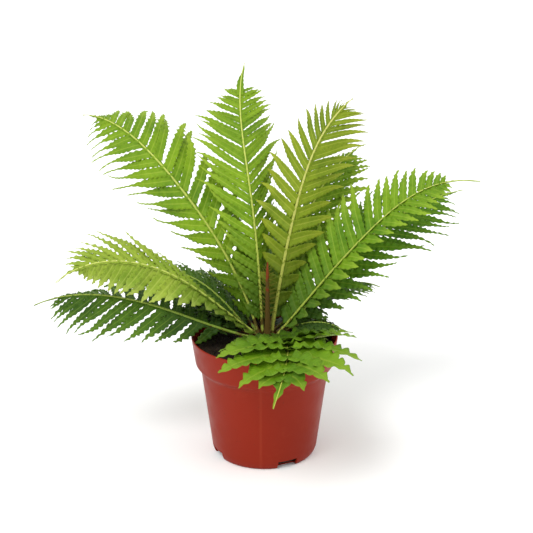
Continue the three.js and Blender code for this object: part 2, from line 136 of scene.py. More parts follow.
FRONDS = [
    dict(name="frond_upper_left", seat=150, ring=INNER_RING, heading=(146, 143, 131),
         lift=(71, 49, 30, -11), face=(-70, -18), length=272, tail=25, pairs=19, more=2,
         reach=58, low=0.3, peak=0.52, sweep=(54, 56), droop=(17, 12), ruffle=1.0,
         slim=(0.25, 0.6), blunt=(0.1, 0.5), broad=1.0, wing=1.8, bare=12),
    dict(name="frond_back_tall", seat=112, ring=INNER_RING, heading=(114.5, 105.5, 80.5),
         lift=(86, 72, 44, 22), face=(14, -9), length=252, tail=38, pairs=24, more=1, reach=56,
         low=0.3, peak=0.55, end=0.3, sweep=(52, 50), droop=(20, 20), ruffle=0.9, thread=0.6,
         strap=0.7, blunt=(0.1, 0.1), broad=0.98, wing=1.6, tailwide=3.8, taillobe=0.25, bare=10),
    dict(name="frond_back_right", seat=-6, ring=INNER_RING, heading=(19.5, 41.5, 38.5),
         lift=(82, 76, 63, 26), face=(66, 16), length=211, tail=13, pairs=18, more=2, reach=47,
         low=0.3, peak=0.52, sweep=(78, 32), droop=(15, 26), thick=1.25, crowd=1.5, sag=0.5,
         look="olive", ruffle=0.6, thread=0.4, strap=0.1, blunt=(0, 0), broad=0.98, lobe=4.0,
         bare=26, slot="young_olive_leaf"),
    dict(name="frond_right_low", seat=22, heading=(25, 25, 24), lift=(30, 44, 26, 3),
         face=(29, 23), length=206, pairs=18, more=1, reach=53, low=0.3, peak=0.56,
         sweep=(69, 38), droop=(5, 7), look="mid_deep", ruffle=1.2, slim=(0.45, 0.35),
         blunt=(0.4, 0.2), bare=14, slot="deep_green_leaf"),
    dict(name="frond_right_high", seat=-14, heading=(10, 12, 9), lift=(50, 48, 36, -11),
         face=(14, -2), length=217, tail=30, pairs=19, more=1, reach=51, sides=(1, 0.6),
         low=0.32, peak=0.28, sweep=(66, 56), droop=(-42, 0), curl=(14, 50), look="mid_bright",
         ruffle=0.9, thread=0.6, strap=0.8, blunt=(0.45, 0.3), broad=1.04, trim=(1, 0.62),
         spread=(0, 1.0), bare=10, slot="bright_green_leaf"),
    dict(name="frond_left_arching", seat=200, ring=INNER_RING, heading=(198, 194, 186),
         lift=(41, 41, 13, -40), face=(14, -42), length=190, pairs=18, more=1, reach=50,
         low=0.14, peak=0.52, sweep=(65, 31), droop=(48, -6), rise=4, curl=(14, 12),
         sides=(0.66, 1), turn=(26, 0), look="bright", ruffle=1.1, thread=0.6, strap=0.4,
         broad=1.3, bare=8, slot="bright_green_leaf"),
    dict(name="frond_left_low", seat=222, heading=(188.5, 179.5, 172.5),
         lift=(18.5, 22, 5.5, -26), face=(-70, 6), length=187, pairs=14, more=1, reach=49,
         low=0.42, sweep=(71, 37), droop=(28, 20), turn=(0, 24), look="deep", ruffle=1.3,
         slim=(0.45, 0.5), blunt=(0.2, 0.7), broad=0.95, bare=30, slot="deep_green_leaf"),
    dict(name="frond_front_drooping", seat=-72, heading=(-69, -88, -111), lift=(13, 20, -6, -36),
         face=(4, 0), length=148, tail=30, pairs=9, more=-2, reach=57, low=0.5, peak=0.36,
         sweep=(88, 46), droop=(-14, -14), look="front", ruffle=1.6, thread=0.25, strap=0.25,
         slim=(0.4, 0.4), blunt=(0, 0), broad=2.2, lobe=9.0, tailwide=7.0, taillobe=0.9, wing=9,
         hook=20, trim=(1.1, 1.08), spread=(0.45, 0.45), bare=12, slot="bright_green_leaf"),
    dict(name="frond_right_back", seat=67, heading=(50, 47, 43), lift=(67, 61, 45, 10),
         face=(16, 4), length=188, pairs=15, more=1, reach=48, low=0.4, sweep=(68, 40),
         droop=(10, 10), thick=0.9, ruffle=1.2, blunt=(0.4, 0.4), bare=12),
    dict(name="frond_left_back", seat=175, heading=(160, 157, 154), lift=(48.5, 40, 11, -24),
         face=(-10, -10), length=116, tail=16, pairs=11, more=2, reach=34, low=0.5, peak=0.4,
         thick=0.9, look="deep", ruffle=1.1, blunt=(0.3, 0.3), bare=8, slot="deep_green_leaf"),
    dict(name="frond_rear", seat=84, heading=(84, 82, 80), lift=(35, 31, 2, -30), length=165,
         tail=18, pairs=14, reach=44, peak=0.4, thick=0.9, look="deep", bare=10,
         slot="deep_green_leaf"),
    dict(name="frond_rear_left", seat=130, heading=(125, 129, 131), lift=(28, 24, -2, -32),
         length=124, tail=18, pairs=13, more=2, reach=36, peak=0.4, thick=0.9, look="deep",
         ruffle=1.1, blunt=(0.3, 0.3), bare=10, slot="deep_green_leaf"),
    dict(name="frond_rear_right", seat=49, heading=(44.5, 40.5, 36.5),
         lift=(21.5, 17.5, -4, -30), length=130, tail=16, pairs=13, reach=34, peak=0.4,
         thick=0.9, look="deep", bare=6, slot="deep_green_leaf"),
    dict(name="frond_low_left", seat=190, heading=(163, 160, 158), lift=(28, 19.5, -8, -40),
         length=92, tail=12, pairs=9, reach=26, peak=0.4, thick=0.8, look="deep", ruffle=1.4,
         broad=1.5, blunt=(0.4, 0.4), trim=(1.15, 1.15), bare=10, slot="deep_green_leaf"),
    dict(name="frond_low_right", seat=4, heading=(-0.5, 1.5, 3.5), lift=(33.5, 17.5, -10, -40),
         length=60, tail=8, pairs=8, reach=19, low=0.5, peak=0.4, thick=0.8, look="deep",
         ruffle=1.6, broad=1.3, blunt=(0.4, 0.4), bare=15, slot="deep_green_leaf"),
    dict(name="young_frond", seat=-64, ring=5.5, heading=(80, 60, 40), lift=(88, 89, 90, 88),
         length=64, tail=5, pairs=12, reach=11, low=0.7, end=0.3, sweep=(74, 50),
         droop=(-10, -10), thick=1.5, look="young", ruffle=0.2, thread=0.2, broad=0.42,
         tailwide=1.2, wing=0.0, fuzz=1.0, stout=1.5, bare=18, slot="young_olive_leaf"),
]


# ---------------------------------------------------------------- small helpers
def along(values, s):
    """Smooth value at share s through values set at even steps."""
    v = np.asarray(values, float)
    last = len(v) - 1
    x = np.clip(np.asarray(s, float), 0, 1) * last
    i = np.minimum(x.astype(int), last - 1)
    t = x - i
    m = np.empty_like(v)
    m[0] = v[1] - v[0]
    m[-1] = v[-1] - v[-2]
    m[1:-1] = (v[2:] - v[:-2]) / 2
    t2 = t * t
    t3 = t2 * t
    return (
        (2 * t3 - 3 * t2 + 1) * v[i]
        + (t3 - 2 * t2 + t) * m[i]
        + (3 * t2 - 2 * t3) * v[i + 1]
        + (t3 - t2) * m[i + 1]
    )


def unit(a):
    return a / np.linalg.norm(a, axis=-1, keepdims=True)


class Shell:
    """Collects closed shells with their point attributes and makes one mesh object of them."""

    def __init__(self):
        self.points = []
        self.faces = []
        self.leaf = []
        self.tone = []
        self.material = []
        self.count = 0

    def add(self, points, faces, leaf, tone, material):
        points = np.asarray(points, float)
        n = len(points)
        self.points.append(points)
        self.faces.extend([tuple(int(k) + self.count for k in f) for f in faces])
        self.leaf.append(np.broadcast_to(np.asarray(leaf, float), (n, 3)))
        self.tone.append(np.broadcast_to(np.asarray(tone, float), (n,)))
        self.material.extend([material] * len(faces))
        self.count += n

    def build(self, name, materials):
        mesh = bpy.data.meshes.new(name)
        points = np.concatenate(self.points) * MM
        mesh.from_pydata(points.tolist(), [], self.faces)
        leaf = mesh.attributes.new("leaf", "FLOAT_VECTOR", "POINT")
        leaf.data.foreach_set("vector", np.concatenate(self.leaf).astype(np.float32).ravel())
        tone = mesh.attributes.new("tone", "FLOAT", "POINT")
        tone.data.foreach_set("value", np.concatenate(self.tone).astype(np.float32))
        for m in materials:
            mesh.materials.append(m)
        mesh.polygons.foreach_set("material_index", self.material)
        mesh.polygons.foreach_set("use_smooth", [True] * len(mesh.polygons))
        bm = bmesh.new()
        bm.from_mesh(mesh)
        bmesh.ops.recalc_face_normals(bm, faces=bm.faces)
        bm.to_mesh(mesh)
        bm.free()
        mesh.update()
        obj = bpy.data.objects.new(name, mesh)
        bpy.context.scene.collection.objects.link(obj)
        return obj


def smooth_step(low, high, x):
    q = np.clip((x - low) / (high - low), 0, 1)
    return q * q * (3 - 2 * q)


def tube(centres, sides, ups, wide, high):
    """Points and faces of a closed tube with an elliptical section along centres."""
    n = len(centres)
    ring = TUBE_SIDES
    a = np.linspace(0, 2 * math.pi, ring, endpoint=False)
    ca = np.cos(a)[None, :, None]
    sa = np.sin(a)[None, :, None]
    pts = (
        centres[:, None, :]
        + sides[:, None, :] * ca * np.asarray(wide)[:, None, None]
        + ups[:, None, :] * sa * np.asarray(high)[:, None, None]
    ).reshape(-1, 3)
    faces = []
    for i in range(n - 1):
        for k in range(ring):
            m = (k + 1) % ring
            faces.append((i * ring + k, i * ring + m, (i + 1) * ring + m, (i + 1) * ring + k))
    faces.append(tuple(range(ring - 1, -1, -1)))
    faces.append(tuple((n - 1) * ring + k for k in range(ring)))
    return pts, faces


def blade(centre, across, face, half, lift_edge, thickness, cols=6):
    """A thin closed leaf along centre: half widths left and right, with edges lifted along face."""
    n = len(centre)
    v = np.linspace(-1, 1, cols + 1)
    share = np.abs(v)
    width = np.where(v[None, :] < 0, half[:, :1], half[:, 1:]) * v[None, :]
    lifted = share[None, :] ** 1.3
    rise = np.where(v[None, :] < 0, lift_edge[:, :1] * lifted, lift_edge[:, 1:] * lifted)
    mid = (
        centre[:, None, :]
        + across[:, None, :] * width[..., None]
        + face[:, None, :] * rise[..., None]
    )
    thin = thickness / 2 * (1 - 0.75 * share**3)
    groove = 0.22 * np.exp(-((v / 0.16) ** 2))
    top = mid + face[:, None, :] * (thin - groove * thickness)[None, :, None]
    low = mid - face[:, None, :] * (thin + groove * thickness * 1.4)[None, :, None]
    c = cols + 1
    pts = np.concatenate([top.reshape(-1, 3), low.reshape(-1, 3)])
    o = n * c
    faces = []
    for i in range(n - 1):
        for j in range(cols):
            a, b, d, e = i * c + j, i * c + j + 1, (i + 1) * c + j + 1, (i + 1) * c + j
            faces.append((a, b, d, e))
            faces.append((o + a, o + e, o + d, o + b))
        for j in (0, cols):
            a, e = i * c + j, (i + 1) * c + j
            faces.append((a, e, o + e, o + a))
    for i in (0, n - 1):
        for j in range(cols):
            a, b = i * c + j, i * c + j + 1
            faces.append((a, o + a, o + b, b))
    tt = np.repeat(np.linspace(0, 1, n), c)
    vv = np.tile(v, n)
    leaf = np.stack([np.tile(tt, 2), np.tile(vv, 2), np.repeat([1.0, 0.0], o)], -1)
    return pts, faces, leaf


# ---------------------------------------------------------------- fronds
class Midrib:
    """The curve that a frond grows along, with its direction, left side and upper side."""

    def __init__(self, f):
        self.f = f
        self.s = np.linspace(0, 1, STEPS + 1)
        seat = math.radians(f["seat"])
        half_stalk = math.hypot(STALK_HALF_WIDTH, STALK_HALF_HEIGHT) * f["thick"]
        start = np.array(
            [
                f["ring"] * math.cos(seat),
                f["ring"] * math.sin(seat),
                CROWN_TOP + FIT_GAP + half_stalk,
            ]
        )
        middle = self.frames((self.s[1:] + self.s[:-1]) / 2)[0]
        self.point = start + np.vstack([[0, 0, 0], np.cumsum(middle, 0) * f["length"] / STEPS])
        self.ahead, self.left, self.up = self.frames(self.s)

    def frames(self, x):
        heading = np.radians(along(self.f["heading"], x))
        lift = np.radians(along(self.f["lift"], x))
        roll = np.radians(along(self.f["face"], x))[:, None]
        ahead = np.stack(
            [np.cos(lift) * np.cos(heading), np.cos(lift) * np.sin(heading), np.sin(lift)], -1
        )
        level = np.stack([-np.sin(heading), np.cos(heading), 0 * heading], -1)
        upright = np.cross(ahead, level)
        left = level * np.cos(roll) + upright * np.sin(roll)
        up = upright * np.cos(roll) - level * np.sin(roll)
        return ahead, left, up

    def at(self, values, x):
        return np.array([np.interp(x, self.s, values[:, k]) for k in range(3)])

    def line(self, x):
        """Points, left sides and upper sides at the shares x."""
        parts = (self.point, self.left, self.up)
        return [np.stack([self.at(values, q) for q in x]) for values in parts]


def leaflet_length(f, u):
    climb = math.sin(min(u / f["peak"], 1) * math.pi / 2) ** f["rise"]
    rise = f["low"] + (1 - f["low"]) * climb
    fall = f["end"] + (1 - f["end"]) * (1 - max((u - f["peak"]) / (1 - f["peak"]), 0) ** 1.7)
    return f["reach"] * (rise if u < f["peak"] else fall)


def leafy_end(f):
    return 1 - f["tail"] / f["length"]


def leaflet_share(f, k):
    """Share of the midrib where leaflet pair k starts; pairs stand closer towards the tip."""
    leaf_start = f["bare"] / f["length"]
    leaf_end = leafy_end(f)
    pairs = f["pairs"] + f["more"]
    return leaf_end - (leaf_end - leaf_start) * (1 - k / pairs) ** f["crowd"]


def add_stalk(shell, f, rib):
    """Stalk and midrib as one tapering tube."""
    s = rib.s
    taper = 1 - (1 - MIDRIB_TIP_SHARE) * s
    wide = STALK_HALF_WIDTH * f["thick"] * taper * 0.9
    high = STALK_HALF_HEIGHT * f["thick"] * taper
    flare = 1 + 0.35 * np.exp(-s * f["length"] / 5)
    fine = 1 - 0.45 * smooth_step(0.9, 1.0, s)
    raised = rib.point + rib.up * RACHIS_RISE
    flare = flare * fine * f["stout"]
    pts, faces = tube(raised, rib.left, rib.up, wide * flare, high * flare)
    ring_angle = np.tile(np.linspace(0, 2 * math.pi, TUBE_SIDES, endpoint=False), len(s))
    run = np.repeat(s, TUBE_SIDES)
    place = np.stack([run, np.sin(ring_angle), run * f["length"] / 100], -1)
    shell.add(pts, faces, place, 0.5, RIB)


def add_stalk_scales(shell, f, rib, rng):
    """Brown scales on the foot of the stalk, or all along a young one."""
    for _ in range(int(STALK_SCALES * f["fuzz"])):
        x = f["fuzz"] * rng.uniform(0, 1) ** 1.3 * 0.93
        turn = rng.uniform(0, 2 * math.pi)
        ahead, left, up = rib.at(rib.ahead, x), rib.at(rib.left, x), rib.at(rib.up, x)
        out = left * math.cos(turn) + up * math.sin(turn)
        skin = STALK_HALF_HEIGHT * f["thick"] * (1 - (1 - MIDRIB_TIP_SHARE) * x)
        onward = unit(ahead * rng.uniform(0.5, 1.4) + out * rng.uniform(0.3, 0.9))
        across = unit(np.cross(onward, out))
        face = unit(np.cross(onward, across))
        t = np.linspace(0, 1, 4)
        length = rng.uniform(0.9, 2.4)
        centre = rib.at(rib.point, x) + out * skin * 0.9 + onward * (t * length)[:, None]
        half = np.stack([0.3 * (1 - t**1.5) + 0.04] * 2, -1)
        pts, faces, leaf = blade(
            centre, np.tile(across, (4, 1)), np.tile(face, (4, 1)), half, half * 0.2,
            SCALE_THICKNESS, cols=2,
        )
        shell.add(pts, faces, leaf, rng.uniform(0, 1), SCALE)


def leaflet_outline(f, which, u, reach, t):
    """Width along a leaflet, as a share of its widest: part strap, part spear, part round-ended."""
    strap = 1 - 0.92 * smooth_step(f["slim"][which], f["slim"][which] + 0.5, t)
    spear = (1 - t**2.2) ** 0.85
    keep = f["strap"] * min(1, 0.15 + u * 3.2)
    outline = keep * strap + (1 - keep) * spear
    blunt = (0.9 - 0.22 * t) * (1 - t**8) ** 0.5
    outline = outline + f["blunt"][which] * (blunt - outline)
    outline = np.maximum(outline * (0.9 + 0.1 * np.sin(math.pi * t)), 0.05)
    return outline + 0.25 * np.exp(-t * reach / 2.0)


def leaflet_margins(f, full, outline, reach, phase, t):
    """Half widths and lifts of a leaflet's two edges, with their lobes and ruffles."""
    waves = reach / f["lobe"]
    margin = smooth_step(0.03, 0.18, t) * (1 - 0.75 * smooth_step(0.93, 1.0, t))
    half = np.empty((len(t), 2))
    edge = np.empty((len(t), 2))
    for e in (0, 1):
        ripple = 2 * math.pi * waves * (t + 0.03 * np.sin(9 * t + phase[4])) + phase[2 + e]
        wave = np.sin(ripple) + 0.3 * np.sin(2 * ripple + 1.0)
        wave = wave * (0.75 + 0.45 * np.sin(5.3 * waves * t + phase[3 - e]))
        depth = f["ruffle"] * (0.13 + 0.3 * smooth_step(0.45, 0.9, t) * f["thread"])
        half[:, e] = full / 2 * outline * (1 + depth * wave * margin)
        ruffle = f["ruffle"] * 0.75 * np.sin(ripple + 1.2) * margin * np.sqrt(outline)
        edge[:, e] = half[:, e] * (0.26 - 0.2 * t) + ruffle * min(full / 6.0, 1)
    return half, edge


def add_leaflet(shell, f, rib, rng, k, side):
    """Leaflet k on the left (side 1) or the right (side -1)."""
    which = 0 if side > 0 else 1
    s0, s1 = leaflet_share(f, k), leaflet_share(f, k + 1)
    mid = (s0 + s1) / 2 + rng.uniform(-0.1, 0.1) * (s1 - s0)
    u = (k + 0.5) / (f["pairs"] + f["more"])
    reach = leaflet_length(f, u) * f["sides"][which] * rng.uniform(0.92, 1.06)
    reach = reach * (f["trim"][which] + f["spread"][which] * smooth_step(0.4, 0.75, u))
    pitch = (s1 - s0) * f["length"]
    sweep = f["sweep"][0] + (f["sweep"][1] - f["sweep"][0]) * u
    sweep += f["turn"][which] + rng.uniform(-3.5, 3.5)
    hang0 = f["droop"][which] + rng.uniform(-5, 5)
    curl = f["curl"][which] + rng.uniform(-8, 8)
    tip_turn = rng.uniform(-34, 30) * f["thread"]
    tip_hang = rng.uniform(-14, 44) * f["thread"]
    phase = rng.uniform(0, 2 * math.pi, 6)
    ahead, left, up = rib.at(rib.ahead, mid), rib.at(rib.left, mid), rib.at(rib.up, mid)
    rows = max(14, int(reach * 1.05))
    t = np.linspace(0, 1, rows + 1)

    def frames(x):
        tip = np.clip((x - 0.62) / 0.38, 0, 1) ** 1.4
        angle = np.radians(
            sweep - f["hook"] * x + tip_turn * tip + 4 * np.sin(9 * x + phase[0]) * x
        )[:, None]
        hang = np.radians(
            hang0 + curl * x + tip_hang * tip + 5 * np.sin(8 * x + phase[1]) * x
        )[:, None]
        out = left * side * np.cos(hang) - up * np.sin(hang)
        onward = ahead * np.cos(angle) + out * np.sin(angle)
        onward[:, 2] -= f["sag"] * x * x
        onward = unit(onward)
        across = ahead * np.sin(angle) - out * np.cos(angle)
        across = unit(across - onward * (across * onward).sum(-1, keepdims=True))
        face = unit(np.cross(onward, across) * -side)
        return onward, across, face

    onward = frames((t[1:] + t[:-1]) / 2)[0] * reach / rows
    centre = rib.at(rib.point, mid) + np.vstack([[0, 0, 0], np.cumsum(onward, 0)])
    _, across, face = frames(t)
    twist = np.radians(rng.uniform(-9, 9) * t + 7 * np.sin(7 * t + phase[5]) * t)[:, None]
    turned_across = across * np.cos(twist) + face * np.sin(twist)
    face = face * np.cos(twist) - across * np.sin(twist)
    full = f["broad"] * pitch * max(math.sin(math.radians(sweep)), 0.55)
    outline = leaflet_outline(f, which, u, reach, t)
    half, edge = leaflet_margins(f, full, outline, reach, phase, t)
    half = np.maximum(half, LEAST_HALF_WIDTH)
    pts, faces, leaf = blade(centre, turned_across, face, half, edge, LEAFLET_THICKNESS)
    shell.add(pts, faces, leaf, rng.uniform(0, 1), LEAF)


def add_wing(shell, f, rib):
    """Narrow strip of leaf that joins the leaflets' feet along both sides of the midrib."""
    pairs = f["pairs"] + f["more"]
    t = np.linspace(0, 1, pairs * 10 + 1)
    first, last = leaflet_share(f, 0), leafy_end(f)
    x = first + (last - first) * (1 - (1 - t) ** f["crowd"])
    centre, across, face = rib.line(x)
    half = np.empty((len(t), 2))
    edge = np.empty((len(t), 2))
    pitch = (last - first) * f["length"] / pairs
    for e in (0, 1):
        sway = 0.5 + 0.5 * np.sin(2 * math.pi * pairs * t - math.pi / 2 + 0.5 * np.sin(9 * t + e))
        strip = 1.3 + f["wing"] * min(pitch / 9, 1.3) * (0.55 + 0.45 * sway)
        half[:, e] = strip * (1 - 0.45 * t)
        half[:, e] *= smooth_step(0, 0.04, t) * 0.8 + 0.2
        hang = math.radians(f["droop"][e])
        edge[:, e] = -half[:, e] * math.sin(hang) * 0.9
    pts, faces, leaf = blade(centre, across, face, half, edge, WING_THICKNESS)
    leaf[:, 0] = 0.02
    shell.add(pts, faces, leaf, 0.5, LEAF)


def add_tail(shell, f, rib, rng):
    """Undivided tip of the frond."""
    t = np.linspace(0, 1, 36 + 1)
    leaf_end = leafy_end(f)
    x = leaf_end - 0.02 + (1 - leaf_end + 0.02) * t
    centre, across, face = rib.line(x)
    centre = centre + across * (np.sin(8 * t + rng.uniform(0, 6)) * 0.9 * t)[:, None]
    swell = 0.8 + 0.45 * np.sin(math.pi * np.clip(t * 1.5, 0, 1))
    outline = np.maximum((1 - t) ** 0.8 * swell, 0.08)
    half = np.empty((len(t), 2))
    edge = np.empty((len(t), 2))
    for e in (0, 1):
        wave = np.sin(2 * math.pi * f["tail"] / f["lobe"] * t + 0.8 * e)
        half[:, e] = f["tailwide"] * outline * (0.85 + 0.3 * f["taillobe"] * wave)
        edge[:, e] = half[:, e] * 0.25
    half = np.maximum(half, LEAST_HALF_WIDTH)
    pts, faces, leaf = blade(centre, across, face, half, edge, TAIL_THICKNESS)
    shell.add(pts, faces, leaf, 0.6, LEAF)


def frond_shell(f, seed):
    rng = np.random.default_rng(seed)
    rib = Midrib(f)
    shell = Shell()
    add_stalk(shell, f, rib)
    add_stalk_scales(shell, f, rib, rng)
    for k in range(f["pairs"] + f["more"]):
        for side in (1, -1):
            add_leaflet(shell, f, rib, rng, k, side)
    add_wing(shell, f, rib)
    add_tail(shell, f, rib, rng)
    return shell


# ---------------------------------------------------------------- material helpers
LOW_SHINE = 0.2


def linear(c):
    return c / 12.92 if c <= 0.04045 else ((c + 0.055) / 1.055) ** 2.4


def srgb(r, g, b):
    return (linear(r / 255), linear(g / 255), linear(b / 255), 1.0)


class Nodes:
    """Short ways to add and join shader nodes."""

    def __init__(self, name):
        self.material = bpy.data.materials.new(name)
        self.material.use_nodes = True
        self.tree = self.material.node_tree
        self.shader = self.tree.nodes["Principled BSDF"]

    def link(self, a, b):
        self.tree.links.new(a, b)

    def put(self, value, socket):
        if isinstance(value, bpy.types.NodeSocket):
            self.link(value, socket)
        else:
            socket.default_value = value

    def math(self, operation, a, b=0.0, clamp=False):
        n = self.tree.nodes.new("ShaderNodeMath")
        n.operation = operation
        n.use_clamp = clamp
        self.put(a, n.inputs[0])
        self.put(b, n.inputs[1])
        return n.outputs[0]

    def ramp(self, value, low, high, out_low=0.0, out_high=1.0):
        n = self.tree.nodes.new("ShaderNodeMapRange")
        n.interpolation_type = "SMOOTHSTEP"
        self.put(value, n.inputs["Value"])
        ends = {"From Min": low, "From Max": high, "To Min": out_low, "To Max": out_high}
        for key, end in ends.items():
            n.inputs[key].default_value = end
        return n.outputs["Result"]

    def mix(self, factor, a, b):
        n = self.tree.nodes.new("ShaderNodeMix")
        n.data_type = "RGBA"
        self.put(factor, n.inputs[0])
        self.put(a, n.inputs[6])
        self.put(b, n.inputs[7])
        return n.outputs[2]

    def noise(self, scale, detail=3.0, vector=None, rough=0.5):
        n = self.tree.nodes.new("ShaderNodeTexNoise")
        n.inputs["Scale"].default_value = scale
        n.inputs["Detail"].default_value = detail
        n.inputs["Roughness"].default_value = rough
        if vector is not None:
            self.link(vector, n.inputs["Vector"])
        return n.outputs["Fac"]

    def place(self):
        return self.tree.nodes.new("ShaderNodeTexCoord").outputs["Object"]

    def attribute(self, name, out):
        n = self.tree.nodes.new("ShaderNodeAttribute")
        n.attribute_name = name
        return n.outputs[out]

    def split(self, vector):
        n = self.tree.nodes.new("ShaderNodeSeparateXYZ")
        self.link(vector, n.inputs[0])
        return n.outputs

    def distance(self, a, b):
        n = self.tree.nodes.new("ShaderNodeVectorMath")
        n.operation = "DISTANCE"
        self.link(a, n.inputs[0])
        n.inputs[1].default_value = b
        return n.outputs["Value"]

    def surface(self, color, rough, shine=LOW_SHINE):
        self.put(color, self.shader.inputs["Base Color"])
        self.put(rough, self.shader.inputs["Roughness"])
        self.shader.inputs["Specular IOR Level"].default_value = shine

    def bump(self, height, strength, distance):
        n = self.tree.nodes.new("ShaderNodeBump")
        n.inputs["Strength"].default_value = strength
        n.inputs["Distance"].default_value = distance
        self.link(height, n.inputs["Height"])
        self.link(n.outputs["Normal"], self.shader.inputs["Normal"])


PLANT_MIDDLE = (0.0, 0.0, 0.1)


def leaf_material(name, blade_color, dark_color, tip_color, rib_color, under_color):
    m = Nodes(name)
    t, v, upper = m.split(m.attribute("leaf", "Vector"))
    tone = m.attribute("tone", "Fac")
    place = m.place()
    absv = m.math("ABSOLUTE", v)
    mottle = m.noise(220.0, 4.0, place)
    cloud = m.noise(28.0, 2.0, place)
    # broad changes of tone from leaflet to leaflet and along each one
    deep = m.math("ADD", m.ramp(cloud, 0.35, 0.7, 0.0, 0.55), m.math("MULTIPLY", tone, 0.32))
    deep = m.math("ADD", deep, m.ramp(mottle, 0.35, 0.75, -0.12, 0.18), clamp=True)
    color = m.mix(deep, blade_color, dark_color)
    color = m.mix(m.ramp(t, 0.45, 1.0, 0.0, 0.7), color, tip_color)
    # fine side veins running out from the leaflet's own rib
    vein_at = m.math("ADD", m.math("MULTIPLY", t, 190.0), m.math("MULTIPLY", absv, -16.0))
    vein = m.math("SINE", vein_at)
    color = m.mix(m.ramp(vein, 0.2, 1.0, 0.0, 0.16), color, tip_color)
    rib = m.ramp(absv, 0.03, 0.14, 0.34, 0.0)
    color = m.mix(rib, color, rib_color)
    edge = m.ramp(absv, 0.88, 1.0, 0.0, 0.35)
    color = m.mix(edge, color, tip_color)
    color = m.mix(m.ramp(upper, 0.4, 0.6, 1.0, 0.0), color, under_color)
    # painted shade: leaflets are darkened down in the middle of the plant, where the fronds shade one
    # another
    away = m.distance(place, PLANT_MIDDLE)
    depth = m.ramp(away, 0.03, 0.105, 0.72, 0.0)
    color = m.mix(depth, color, [0.45 * c for c in dark_color[:3]] + [1.0])
    m.surface(color, m.ramp(mottle, 0.3, 0.7, 0.46, 0.62))
    height = m.math("ADD", m.math("MULTIPLY", vein, 0.5), m.math("MULTIPLY", mottle, 1.2))
    m.bump(height, 0.35, 0.0004)
    return m.material


def rib_material(name, color_low, color_high, stalk_color, stalk_until):
    m = Nodes(name)
    run, _, length = m.split(m.attribute("leaf", "Vector"))
    place = m.place()
    color = m.mix(m.ramp(run, 0.1, 0.9), color_low, color_high)
    streak = m.noise(900.0, 2.0, place)
    color = m.mix(m.ramp(streak, 0.5, 0.75, 0.0, 0.4), color, stalk_color)
    patch = m.math("ADD", length, m.ramp(m.noise(160.0, 3.0, place), 0.3, 0.7, -0.12, 0.12))
    color = m.mix(m.ramp(patch, stalk_until - 0.12, stalk_until, 0.95, 0.0), color, stalk_color)
    m.surface(color, 0.55)
    m.bump(streak, 0.4, 0.0004)
    return m.material


def plastic_material():
    m = Nodes("pot_plastic_look")
    place = m.place()
    base = srgb(134, 34, 13)
    cloud = m.noise(14.0, 3.0, place)
    color = m.mix(m.ramp(cloud, 0.3, 0.75, 0.0, 0.35), base, srgb(118, 28, 10))
    dust = m.noise(55.0, 6.0, place, 0.65)
    color = m.mix(m.ramp(dust, 0.56, 0.78, 0.0, 0.14), color, srgb(160, 76, 48))
    speck = m.noise(420.0, 2.0, place)
    color = m.mix(m.ramp(speck, 0.72, 0.76, 0.0, 0.55), color, srgb(70, 38, 24))
    # painted highlight: a faint lighter vertical stripe down the front and the back, standing in for
    # a reflected light streak
    beside = m.math("ABSOLUTE", m.math("ADD", m.split(place)[0], 0.003))
    color = m.mix(m.ramp(beside, 0.0003, 0.0016, 0.08, 0.0), color, srgb(186, 92, 62))
    m.surface(color, m.ramp(dust, 0.35, 0.75, 0.34, 0.52), 0.12)
    m.bump(m.noise(700.0, 2.0, place), 0.12, 0.0003)
    return m.material


def soil_material():
    m = Nodes("soil_look")
    place = m.place()
    grain = m.noise(420.0, 5.0, place, 0.7)
    cloud = m.noise(60.0, 3.0, place)
    color = m.mix(m.ramp(grain, 0.3, 0.75), srgb(16, 12, 7), srgb(52, 38, 24))
    color = m.mix(m.ramp(cloud, 0.5, 0.75, 0.0, 0.5), color, srgb(13, 10, 5))
    fleck = m.noise(900.0, 1.0, place)
    color = m.mix(m.ramp(fleck, 0.74, 0.78, 0.0, 0.7), color, srgb(150, 116, 80))
    m.surface(color, 0.95)
    m.bump(grain, 0.9, 0.0015)
    return m.material


def scale_material():
    m = Nodes("crown_scale_look")
    place = m.place()
    tone = m.attribute("tone", "Fac")
    color = m.mix(tone, srgb(70, 30, 10), srgb(140, 70, 26))
    grain = m.noise(1200.0, 2.0, place)
    color = m.mix(m.ramp(grain, 0.45, 0.7, 0.0, 0.5), color, srgb(34, 18, 10))
    m.surface(color, 0.7)
    m.bump(m.noise(1500.0, 2.0, place), 0.5, 0.0004)
    return m.material


# ---------------------------------------------------------------- looks of the leaves
LOOKS = {
    # blade, darker parts, tips and edges, rib, underside
    "mid": ((116, 150, 16), (70, 112, 4), (150, 176, 46), (166, 182, 66), (132, 158, 42)),
    "mid_bright": ((108, 144, 14), (62, 108, 4), (144, 172, 44), (160, 178, 62), (128, 156, 40)),
    "mid_deep": ((80, 124, 9), (42, 84, 2), (114, 150, 28), (136, 162, 46), (104, 140, 30)),
    "olive": ((120, 140, 20), (80, 106, 6), (158, 168, 48), (176, 180, 72), (132, 148, 38)),
    "bright": ((138, 160, 46), (96, 130, 20), (174, 190, 90), (180, 192, 92), (148, 166, 62)),
    "deep": ((70, 106, 12), (34, 68, 4), (98, 134, 30), (126, 150, 48), (90, 124, 32)),
    "front": ((100, 138, 14), (62, 102, 5), (128, 158, 36), (150, 170, 56), (118, 148, 42)),
    "young": ((120, 122, 22), (84, 90, 10), (144, 138, 36), (96, 60, 20), (124, 122, 36)),
}
